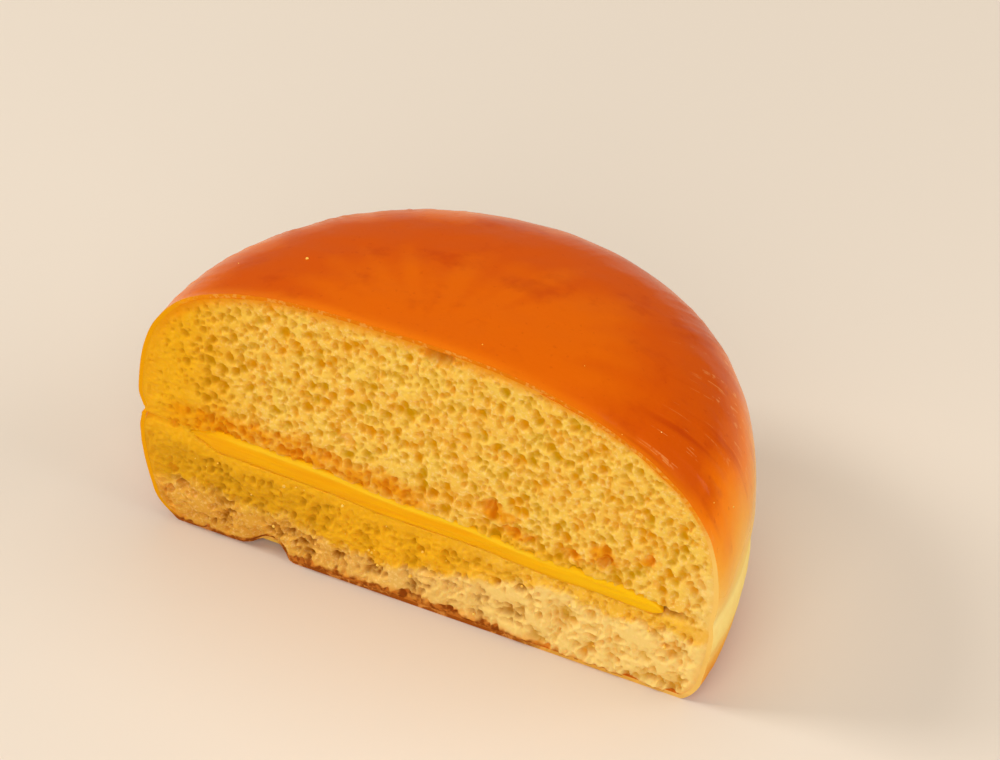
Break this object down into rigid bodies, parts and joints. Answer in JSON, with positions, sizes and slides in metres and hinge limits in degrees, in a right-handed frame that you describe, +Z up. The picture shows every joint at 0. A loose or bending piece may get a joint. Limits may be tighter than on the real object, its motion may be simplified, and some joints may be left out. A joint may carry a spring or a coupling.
{
  "type": "bun maska half",
  "caption": "Half of a domed milk bun, split and filled with a layer of butter, standing on its flat base with the cut crumb to the front.",
  "frame": {"origin": "middle of the footprint's box, on the surface that the base rests on", "axes": "+X along the cut face toward the side where the bun isn't split, -Y out of the cut face, +Z up"},
  "size_m": [0.1014, 0.0562, 0.0543],
  "materials": {
    "bread": "glossy egg-washed golden-brown crust over pale yellow open crumb",
    "butter": "smooth soft yellow butter"
  },
  "bodies": {
    "root": {"bun": "bread", "butter": "butter"}
  },
  "joints": []
}
